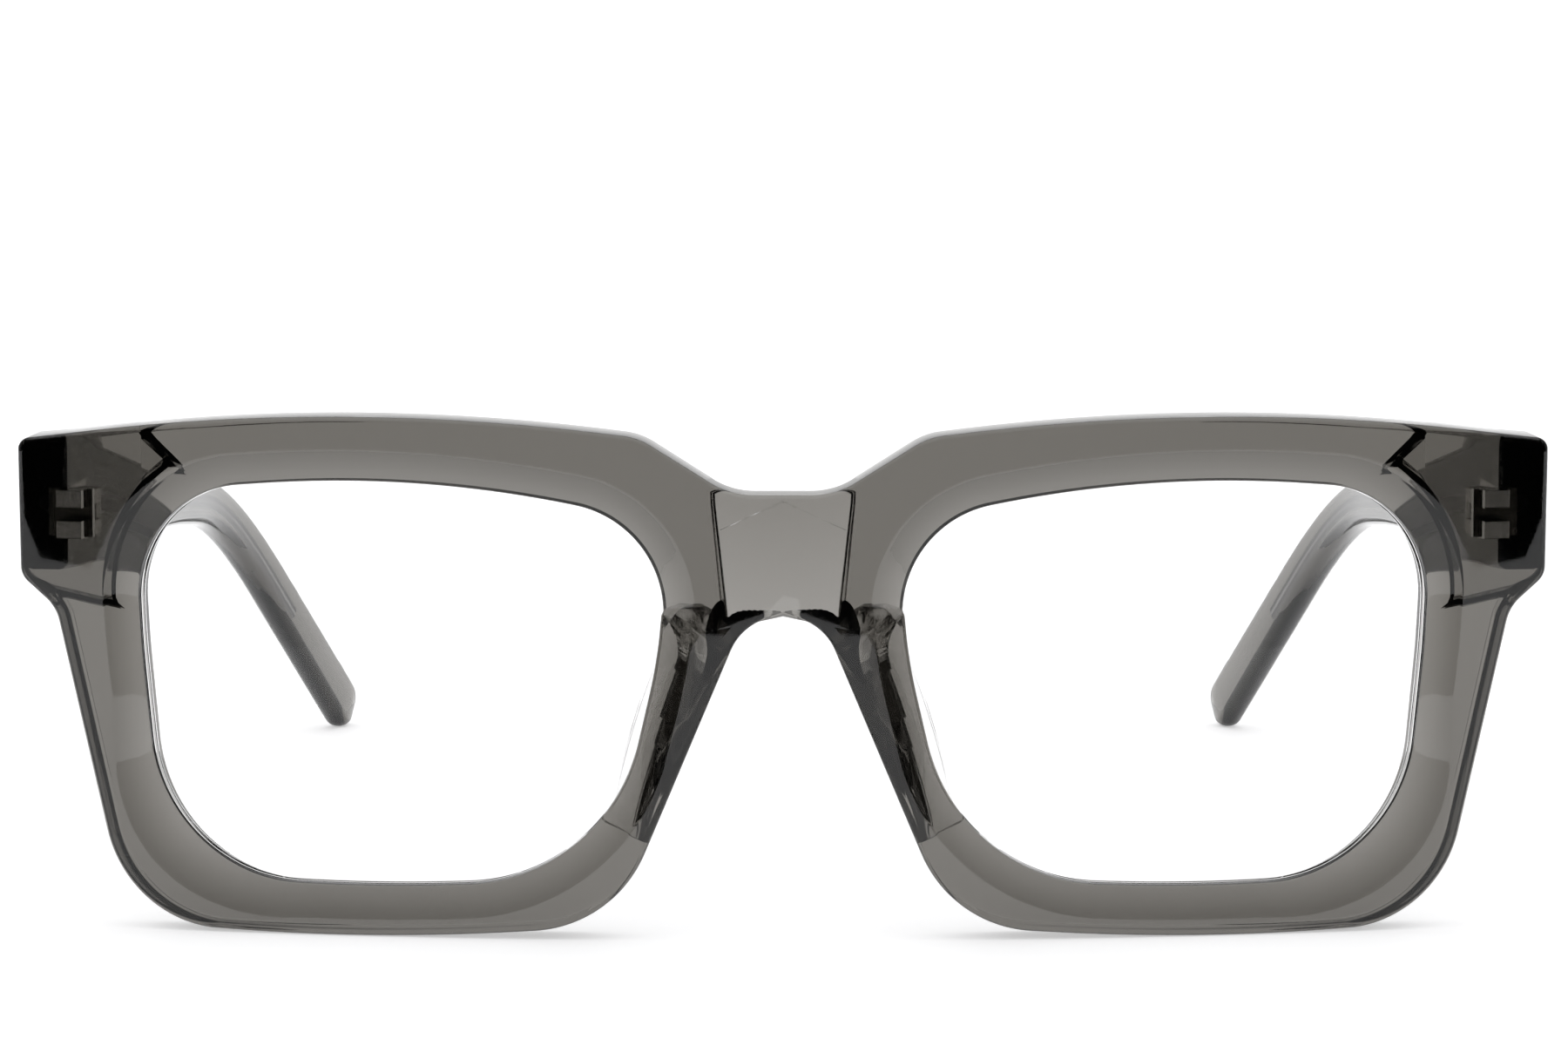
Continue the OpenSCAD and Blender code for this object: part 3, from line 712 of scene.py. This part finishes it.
def hinge_cutters(side):
    """What takes a temple and a front leaf: the butt face, the plate's pocket and the holes of its feet."""
    m = hinge_frame(hinge_p, hinge_a, side)
    out = [box_cutter((-end_w / 2, 0, -end_h), (BUTT_REACH * end_w, end_t, end_h), m),
           box_cutter((plate_in - seat, -plate_t - seat, -plate_h / 2 - seat),
                      (plate_in + plate_w + seat, CUT_PAST, plate_h / 2 + seat), m)]
    for s in (-1, 1):
        z = s * (plate_h - foot_h) / 2
        out.append(box_cutter((foot_x - seat, -foot_d - plate_t - seat, z - foot_h / 2 - seat),
                              (foot_x + foot_w + seat, -plate_t, z + foot_h / 2 + seat), m))
    return out


def front_piece():
    """The frame front: both halves in one skin, with everything that is cut into it."""
    sections, first, last = front_sections()
    ring = sections.shape[1]
    half = sections.reshape(-1, 3)
    both = np.concatenate([half, half * (-1, 1, 1)])
    faces = []
    for side in (0, 1):
        for i in range(count):
            n = (i + 1) % count
            for j in range(ring):
                if (on_web[i] or on_web[n]) and first <= j < last:
                    continue
                k = (j + 1) % ring
                corners = (i * ring + j, n * ring + j, n * ring + k, i * ring + k)
                quad = [side * len(half) + c for c in corners]
                faces.append(quad if side else quad[::-1])
    obj = mesh_object("acetate_front", both, faces)
    tidy(obj)
    cut(obj, [scoop_cutter()] + hinge_cutters(1) + hinge_cutters(-1))
    cut(obj, [splay_cutter()] + [pad_body(side, front_t - PAD_BED, False) for side in (1, -1)])
    tidy(obj, merge=2e-5, sharp=20)
    mark_joined(obj, front_t - PAD_BED)
    to_metres(obj)
    return obj


def pad_piece(name, side):
    """A nose pad of crystal acetate, cemented into its bed."""
    obj = pad_body(-1, front_t - PAD_BED + PAD_FILM)
    obj.name = name
    cut(obj, [splay_cutter()])
    obj.data.name = name
    obj.data.transform(Matrix.Scale(-side, 4, (1, 0, 0)))
    tidy(obj, merge=2e-4, sharp=30)
    mark_joined(obj, front_t - PAD_BED + PAD_FILM)
    to_metres(obj)
    return obj


# Temples: the centre line runs by a heading in plan and a slope, summed in short steps
temple_x = 3.65
# At its front a temple stays this far inside the height of the end piece
under_top, over_low = 0.1, 0.2
temple_top = end_top - under_top
temple_low = end_low + over_low
temple_z = (temple_top + temple_low) / 2
temple_start = from_butt((temple_x, joint_gap, 0))
slope_up = asin((temple_z - bend_z) / temple_straight)
temple_l = temple_straight + temple_drop
end_height = temple_top - temple_low
temple_edge = 0.9
tip_edge = 1.4
tip_round = tip_h / 2
tip_start = temple_l - tip_round
# Shares of a stretch over which the height changes, and the share of its thickness that the tip keeps
TAPER_SHARE, SWELL_SHARE = 0.75, 0.8
TIP_THIN = 0.35
# The most of a section's width or height that a rounding takes, and the points on a rounding
ROUND_MOST = 0.45
ROUND_POINTS = 6
# Millimetres between rings, degrees between them on the round tip, and what the last ring falls short
RING_STEP = 1.5
TIP_TURN = 6
TIP_SHORT = 0.03


# In what follows, s is a distance along the centre line, h a heading and v a slope
def past_bend(s):
    """How far the bend has turned at s, from 0 to 1."""
    return smooth((s - temple_straight) / bend_r + 0.5)


def heading(s):
    """The turn inwards, seen from above."""
    return radians(mix(close_in, tip_in, past_bend(s)))


def slope(s, tip_z):
    """The slope down to the bend, and from there to the tip."""
    return mix(slope_up, asin((bend_z - tip_z) / temple_drop), past_bend(s))


def along(h, v):
    """The direction in which the temple runs."""
    return np.array([-sin(h) * cos(v), cos(h) * cos(v), -sin(v)])


def upward(h, v):
    """The direction of its height."""
    return np.array([-sin(h) * sin(v), cos(h) * sin(v), cos(v)])


def outward(h):
    """The direction of its thickness."""
    return np.array([cos(h), sin(h), 0.0])


def tip_close(s):
    """1 along the temple, then closing round the tip."""
    return 1.0 if s < tip_start else sqrt(max(0.0001, 1 - ((s - tip_start) / tip_round) ** 2))


def height_at(s):
    if s < temple_straight:
        h = mix(end_height, temple_h, smooth(s / (temple_straight * TAPER_SHARE)))
    else:
        h = mix(temple_h, tip_h, smooth((s - temple_straight) / (temple_drop * SWELL_SHARE)))
    return h * tip_close(s)


def thick_at(s):
    return mix(temple_t, tip_t, min(1.0, s / temple_l)) * mix(TIP_THIN, 1, tip_close(s))


# Distances of the temple's rings from its butt face
distances = list(np.arange(0, tip_start - 1, RING_STEP)) + [tip_start]
distances += [tip_start + tip_round * sin(radians(a)) for a in range(TIP_TURN, 90, TIP_TURN)]
distances.append(temple_l - TIP_SHORT)


def centre_line(tip_z):
    p = np.array([temple_start[0], temple_start[1], temple_z])
    out = [p]
    for a, b in zip(distances, distances[1:]):
        m = (a + b) / 2
        p = p + along(heading(m), slope(m, tip_z)) * (b - a)
        out.append(p)
    return out


def temple_section(w, h, r):
    """A rectangle with rounded corners."""
    out = []
    for c in range(4):
        sx = 1 if c in (0, 3) else -1
        sz = 1 if c < 2 else -1
        for k in range(ROUND_POINTS + 1):
            t = radians(c * 90 + 90 * k / ROUND_POINTS)
            out.append((sx * (w / 2 - r) + r * cos(t), sz * (h / 2 - r) + r * sin(t)))
    return out


def temple_rings(tip_z):
    """The temple's sections, the first one laid into the plane of the butt face."""
    line = centre_line(tip_z)
    rings = []
    for p, s in zip(line, distances):
        w, h = thick_at(s), height_at(s)
        r = min(mix(temple_edge, tip_edge, min(1.0, s / temple_straight)), w * ROUND_MOST, h * ROUND_MOST)
        out, up = outward(heading(s)), upward(heading(s), slope(s, tip_z))
        rings.append([p + out * a + up * b for a, b in temple_section(w, h, r)])
    normal = np.array([-sin(hinge_a), cos(hinge_a), 0.0])
    origin = from_butt((0, joint_gap, 0))
    d = along(heading(0), slope(0, tip_z))
    rings[0] = [p - d * float((p - origin) @ normal) / float(d @ normal) for p in rings[0]]
    return rings


TIP_GUESS = 5.0
TIP_ROUNDS = 3


def settled_tip():
    """The height of the tip's centre at which the temple just reaches the ground."""
    z = TIP_GUESS
    for _ in range(TIP_ROUNDS):
        z -= min(p[2] for ring in temple_rings(z) for p in ring)
    return z


tip_z = settled_tip()
axis_p = from_butt((0, axis_y, 0))
temple_side = float((temple_start - axis_p)[:2] @ outward(radians(close_in))[:2]) - temple_t / 2
leaf_start = 1
leaf_l = 8.5
arm_y = 2.6
sink = 0.05
# The mitre at a temple's front end, which clears the end piece as it folds
end_bevel = 1.4
MITRE_BACK, MITRE_TURN, MITRE_SIZE = 0.6, 135, 4


def temple_piece(name, side):
    """A temple with the pocket of its hinge leaf, the room for the knuckle's arm and the mitred end."""
    obj = loft(name, temple_rings(tip_z), side)
    tidy(obj, merge=1e-3)
    m = hinge_frame(axis_p, radians(close_in), side)
    mitre = Matrix.Translation((temple_side + end_bevel, -axis_y - MITRE_BACK, 0))
    mitre @= Matrix.Rotation(radians(MITRE_TURN), 4, "Z")
    pocket = temple_side + sink + plate_t + seat
    cut(obj, [box_cutter((temple_side - CUT_PAST, leaf_start - seat, -stack_h / 2 - seat),
                         (pocket, leaf_start + leaf_l + seat, stack_h / 2 + seat), m),
              box_cutter((0, -seat, -knuckle_h / 2 - seat),
                         (temple_side + sink + plate_t / 2 + seat, arm_y + seat, knuckle_h / 2 + seat), m),
              box_cutter((-MITRE_SIZE, 0, -end_h), (MITRE_SIZE, MITRE_SIZE, end_h), m @ mitre)])
    tidy(obj, merge=2e-4, sharp=24)
    to_metres(obj)
    return obj


# The wire ends this far from the tip, starts this far behind the butt face and has a side at each turn
CORE_END = 22.0
CORE_START = 0.6
CORE_TURN = pi / 10


def core_piece(name, side):
    """The wire core, a round rod that follows the temple's centre line."""
    rings = []
    for p, s in zip(centre_line(tip_z), distances):
        if s > temple_l - CORE_END:
            break
        out, up = outward(heading(s)), upward(heading(s), slope(s, tip_z))
        start = along(heading(0), slope(0, tip_z)) * CORE_START if s == 0 else 0
        turns = np.arange(0, 2 * pi, CORE_TURN)
        rings.append([p + start + (out * cos(a) + up * sin(a)) * core_d / 2 for a in turns])
    obj = loft(name, rings, side)
    tidy(obj, sharp=40)
    to_metres(obj)
    return obj


def principled(name, **sockets):
    """A new material and its shader, with constants set on the shader's own sockets."""
    mat = bpy.data.materials.new(name)
    mat.use_nodes = True
    shader = mat.node_tree.nodes["Principled BSDF"]
    for key, value in sockets.items():
        shader.inputs[key.replace("_", " ")].default_value = value
    return mat, shader


def noise(mat, scale, detail=2.0, stretch=(1, 1, 1)):
    """Noise that stays fixed to the object, finer with scale and long where a stretch is small."""
    nodes, links = mat.node_tree.nodes, mat.node_tree.links
    place = nodes.new("ShaderNodeTexCoord")
    mapping = nodes.new("ShaderNodeMapping")
    mapping.inputs["Scale"].default_value = stretch
    tex = nodes.new("ShaderNodeTexNoise")
    tex.inputs["Scale"].default_value = scale
    tex.inputs["Detail"].default_value = detail
    links.new(place.outputs["Object"], mapping.inputs["Vector"])
    links.new(mapping.outputs["Vector"], tex.inputs["Vector"])
    return tex.outputs["Fac"]


def ranged(mat, fac, low, high):
    """A value from 0 to 1 brought into a range."""
    node = mat.node_tree.nodes.new("ShaderNodeMapRange")
    node.inputs["To Min"].default_value = low
    node.inputs["To Max"].default_value = high
    mat.node_tree.links.new(fac, node.inputs["Value"])
    return node.outputs["Result"]


def bump(mat, shader, fac, distance, strength):
    """Relief on a surface, with its height in metres."""
    node = mat.node_tree.nodes.new("ShaderNodeBump")
    node.inputs["Distance"].default_value = distance
    node.inputs["Strength"].default_value = strength
    mat.node_tree.links.new(fac, node.inputs["Height"])
    mat.node_tree.links.new(node.outputs["Normal"], shader.inputs["Normal"])


def clear_shadow(mat, shader, colour):
    """Light passes through a clear material onto what lies behind it, and unbent through cemented faces."""
    nodes, links = mat.node_tree.nodes, mat.node_tree.links
    path = nodes.new("ShaderNodeLightPath")
    clear = nodes.new("ShaderNodeBsdfTransparent")
    clear.inputs["Color"].default_value = colour
    blend = nodes.new("ShaderNodeMixShader")
    links.new(path.outputs["Is Shadow Ray"], blend.inputs["Fac"])
    links.new(shader.outputs["BSDF"], blend.inputs[1])
    links.new(clear.outputs["BSDF"], blend.inputs[2])
    mark = nodes.new("ShaderNodeAttribute")
    mark.attribute_name = "joined"
    through = nodes.new("ShaderNodeBsdfTransparent")
    joined = nodes.new("ShaderNodeMixShader")
    links.new(mark.outputs["Fac"], joined.inputs["Fac"])
    links.new(blend.outputs["Shader"], joined.inputs[1])
    links.new(through.outputs["BSDF"], joined.inputs[2])
    links.new(joined.outputs["Shader"], nodes["Material Output"].inputs["Surface"])


# The colour that the dye lets through, and how strongly it absorbs light per metre; the temples' density is
# higher than the front's, as painted shade that makes the temples darker than the same acetate in the front
DYE = (0.292, 0.272, 0.236, 1)
SMOKE_DENSITY, TEMPLE_SHADE_DENSITY, CRYSTAL_DENSITY = 470.0, 770.0, 40.0
# What each material lets through onto the floor
SMOKE_SHADOW = (0.72, 0.71, 0.74, 1)
TEMPLE_SHADOW = (0.5, 0.49, 0.52, 1)
CRYSTAL_SHADOW = (0.94, 0.94, 0.94, 1)
LENS_SHADOW = (0.98, 0.98, 0.98, 1)
CLEAR = (1, 1, 1, 1)
ACETATE_IOR = 1.49
LENS_IOR = 1.5
# Roughness of polished surfaces, from the smoothest spots to the hairlines
ACETATE_ROUGH = (0.008, 0.035)
LENS_ROUGH = (0.0, 0.006)
# The share of its gloss that the anti-reflection coating leaves a lens
LENS_COATING = (0.12, 0.12, 0.12, 1)


def acetate_material(name, density, shadow):
    """Polished see-through acetate, dyed, with the faint waviness and hairlines of hand polishing."""
    mat, shader = principled(name, Base_Color=CLEAR, Transmission_Weight=1.0, IOR=ACETATE_IOR)
    nodes, links = mat.node_tree.nodes, mat.node_tree.links
    hairlines = noise(mat, scale=900.0, stretch=(1, 1, 0.15))
    links.new(ranged(mat, hairlines, *ACETATE_ROUGH), shader.inputs["Roughness"])
    bump(mat, shader, noise(mat, scale=90.0), distance=0.00001, strength=0.25)
    dye = nodes.new("ShaderNodeVolumeAbsorption")
    dye.inputs["Color"].default_value = DYE
    dye.inputs["Density"].default_value = density
    links.new(dye.outputs["Volume"], nodes["Material Output"].inputs["Volume"])
    clear_shadow(mat, shader, shadow)
    return mat


def lens_material():
    """Colourless lens plastic with an anti-reflection coating."""
    mat, shader = principled("lens_clear", Base_Color=CLEAR, Transmission_Weight=1.0, IOR=LENS_IOR,
                             Specular_Tint=LENS_COATING)
    rough = ranged(mat, noise(mat, scale=300.0), *LENS_ROUGH)
    mat.node_tree.links.new(rough, shader.inputs["Roughness"])
    clear_shadow(mat, shader, LENS_SHADOW)
    return mat


# How dark the grain of brushed metal gets, and how far its roughness swings to both sides
GRAIN_DARK = 0.82
GRAIN_SMOOTHER, GRAIN_ROUGHER = 0.06, 0.08


def metal_material(name, tone, rough):
    """Metal with a fine brushed grain."""
    mat, shader = principled(name, Metallic=1.0)
    links = mat.node_tree.links
    grain = noise(mat, scale=2500.0, detail=3.0, stretch=(1, 1, 0.1))
    ramp = mat.node_tree.nodes.new("ShaderNodeValToRGB")
    ramp.color_ramp.elements[0].color = tuple(c * GRAIN_DARK for c in tone) + (1,)
    ramp.color_ramp.elements[1].color = tone + (1,)
    links.new(grain, ramp.inputs["Fac"])
    links.new(ramp.outputs["Color"], shader.inputs["Base Color"])
    uneven = ranged(mat, grain, rough - GRAIN_SMOOTHER, rough + GRAIN_ROUGHER)
    links.new(uneven, shader.inputs["Roughness"])
    bump(mat, shader, grain, distance=0.00002, strength=0.3)
    return mat


def dress(obj, mat, slot_name, body, *nodes):
    """Gives a piece its material, the body it rides on and the solids it stands for; slot_name is not used.
    """
    obj.data.materials.clear()
    obj.data.materials.append(mat)
    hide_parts(*nodes)
    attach(obj, body)


acetate = acetate_material("acetate_smoke", SMOKE_DENSITY, SMOKE_SHADOW)
# The temples are a darker copy of the front's acetate: the same dye made denser, as painted shade
temple_acetate_shaded = acetate_material("acetate_smoke_shaded", TEMPLE_SHADE_DENSITY, TEMPLE_SHADOW)
crystal = acetate_material("acetate_crystal", CRYSTAL_DENSITY, CRYSTAL_SHADOW)
clear = lens_material()
nickel = metal_material("hinge_nickel", tone=(0.78, 0.77, 0.75), rough=0.24)
steel = metal_material("core_steel", tone=(0.62, 0.62, 0.63), rough=0.3)

dress(front_piece(), acetate, "acetate", "front", "front_frame")
for word, side in (("right", 1), ("left", -1)):
    dress(lens_piece("lens_shell_" + word, side), clear, "lens", "front", "lens_" + word)
    dress(pad_piece("acetate_pad_" + word, side), crystal, "acetate", "front", "nose_pad_" + word)
    body = word + "_temple"
    dress(temple_piece("acetate_temple_" + word, side), temple_acetate_shaded, "acetate", body, "temple_" + word)
    dress(core_piece("core_wire_" + word, side), steel, "core_wire", body, "temple_core_" + word)

# The hinges stay the solids themselves, in nickel
for node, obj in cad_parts.items():
    if "hinge" in node:
        for place in obj.material_slots:
            place.material = nickel


def math_node(nodes, links, kind, *values):
    """One Math node; values are numbers or sockets."""
    node = nodes.new("ShaderNodeMath")
    node.operation = kind
    for k, v in enumerate(values):
        if isinstance(v, bpy.types.NodeSocket):
            links.new(v, node.inputs[k])
        else:
            node.inputs[k].default_value = v
    return node.outputs[0]


def seen_rays(nodes, links):
    """The light path, and 1 for camera, glossy and transmission rays but 0 for diffuse light."""
    path = nodes.new("ShaderNodeLightPath")
    glossy, through = path.outputs["Is Glossy Ray"], path.outputs["Is Transmission Ray"]
    sharp = math_node(nodes, links, "MAXIMUM", glossy, through)
    return path, math_node(nodes, links, "MAXIMUM", path.outputs["Is Camera Ray"], sharp)


# A sheet of white paper, in metres, and how much it glows where it is seen
FLOOR_FRONT, FLOOR_BACK, FLOOR_SIDE = -0.3, 1.6, 0.5
FLOOR_COLOUR = (0.83, 0.83, 0.84, 1)
FLOOR_GLOW = 0.42


def floor_piece():
    """The paper that the glasses stand on, which ends a little in front of them."""
    corners = [(-FLOOR_SIDE, FLOOR_FRONT), (FLOOR_SIDE, FLOOR_FRONT),
               (FLOOR_SIDE, FLOOR_BACK), (-FLOOR_SIDE, FLOOR_BACK)]
    obj = mesh_object("floor", [c + (0,) for c in corners], [(0, 1, 2, 3)])
    mat, shader = principled("floor_pale", Base_Color=FLOOR_COLOUR, Roughness=0.6, Specular_IOR_Level=0.1)
    nodes, links = mat.node_tree.nodes, mat.node_tree.links
    glow = nodes.new("ShaderNodeEmission")
    seen = seen_rays(nodes, links)[1]
    links.new(math_node(nodes, links, "MULTIPLY", seen, FLOOR_GLOW), glow.inputs["Strength"])
    add = nodes.new("ShaderNodeAddShader")
    links.new(shader.outputs["BSDF"], add.inputs[0])
    links.new(glow.outputs["Emission"], add.inputs[1])
    links.new(add.outputs["Shader"], nodes["Material Output"].inputs["Surface"])
    obj.data.materials.append(mat)


# The room: white behind the glasses and dark towards the camera, between these parts of a unit direction
BACKDROP_FROM, BACKDROP_TO = -0.6, 0.5
BACKDROP_WHITE = 1.0
ROOM_DARK = 0.02
# It dims between these parts of a unit direction, towards the sides and upwards
SIDES_FROM, SIDES_TO, SIDES_DIM = 0.32, 0.7, 0.45
TOP_FROM, TOP_TO, TOP_DIM = 0.15, 0.5, 0.45
# The even light that falls on things
WORLD_FILL = 0.75


def fade(nodes, links, source, start, end, low, high):
    """A value that goes smoothly from low to high while the source goes from start to end."""
    node = nodes.new("ShaderNodeMapRange")
    node.interpolation_type = "SMOOTHSTEP"
    for key, v in (("From Min", start), ("From Max", end), ("To Min", low), ("To Max", high)):
        node.inputs[key].default_value = v
    links.new(source, node.inputs["Value"])
    return node.outputs["Result"]


def world_light():
    """A white backdrop and a dark room for what shines and shows through, and an even fill for the rest."""
    world = bpy.data.worlds.new("studio")
    scene.world = world
    world.use_nodes = True
    nodes, links = world.node_tree.nodes, world.node_tree.links
    nodes.clear()
    out = nodes.new("ShaderNodeOutputWorld")
    path, seen = seen_rays(nodes, links)
    way = nodes.new("ShaderNodeTexCoord")
    split = nodes.new("ShaderNodeSeparateXYZ")
    links.new(way.outputs["Generated"], split.inputs[0])
    behind = fade(nodes, links, split.outputs["Y"], BACKDROP_FROM, BACKDROP_TO, ROOM_DARK, BACKDROP_WHITE)
    sideways = math_node(nodes, links, "ABSOLUTE", split.outputs["X"])
    aside = fade(nodes, links, sideways, SIDES_FROM, SIDES_TO, 1, SIDES_DIM)
    above = fade(nodes, links, split.outputs["Z"], TOP_FROM, TOP_TO, 1, TOP_DIM)
    lit = math_node(nodes, links, "MULTIPLY", math_node(nodes, links, "MULTIPLY", behind, aside), above)
    shown = math_node(nodes, links, "MAXIMUM", lit, path.outputs["Is Camera Ray"])
    fill = nodes.new("ShaderNodeBackground")
    fill.inputs["Strength"].default_value = WORLD_FILL
    room = nodes.new("ShaderNodeBackground")
    links.new(shown, room.inputs["Strength"])
    blend = nodes.new("ShaderNodeMixShader")
    for key, source in ((0, seen), (1, fill.outputs["Background"]), (2, room.outputs["Background"])):
        links.new(source, blend.inputs[key])
    fill.inputs["Color"].default_value = room.inputs["Color"].default_value = CLEAR
    links.new(blend.outputs["Shader"], out.inputs["Surface"])


def area_light(name, place, target, size, power):
    """A rectangular softbox that looks from its place at its target."""
    data = bpy.data.lights.new(name, "AREA")
    data.shape = "RECTANGLE"
    data.size, data.size_y = size
    data.energy = power
    obj = bpy.data.objects.new(name, data)
    obj.location = place
    obj.rotation_euler = (Vector(target) - Vector(place)).to_track_quat("-Z", "Y").to_euler()
    scene.collection.objects.link(obj)


floor_piece()
world_light()
area_light("softbox_top", place=(0, 0.1, 1.1), target=(0, 0, 0), size=(1.4, 1.4), power=4.0)

# Camera: 800 mm in front of the face at the photograph's height and tilt, in metres and degrees
# Its focal length and the width of the image are in pixels of the photograph
CAMERA_D = 0.8
CAMERA_H = 0.13535
CAMERA_X = 0.0001
CAMERA_PITCH = 6.757
FOCAL_PX = 9688.6
SENSOR = 36.0
IMAGE_W = 1800
camera = bpy.data.objects.new("camera", bpy.data.cameras.new("camera"))
camera.data.sensor_width = SENSOR
camera.data.lens = FOCAL_PX * SENSOR / IMAGE_W
camera.data.clip_start = 0.01
camera.location = (CAMERA_X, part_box("front_frame")[0][1] - CAMERA_D, CAMERA_H)
camera.rotation_euler = (radians(90 - CAMERA_PITCH), 0, 0)
scene.collection.objects.link(camera)
scene.camera = camera
scene.view_settings.view_transform = "Standard"
scene.cycles.max_bounces = 24
scene.cycles.transmission_bounces = 20
scene.cycles.glossy_bounces = 8
scene.cycles.transparent_max_bounces = 24
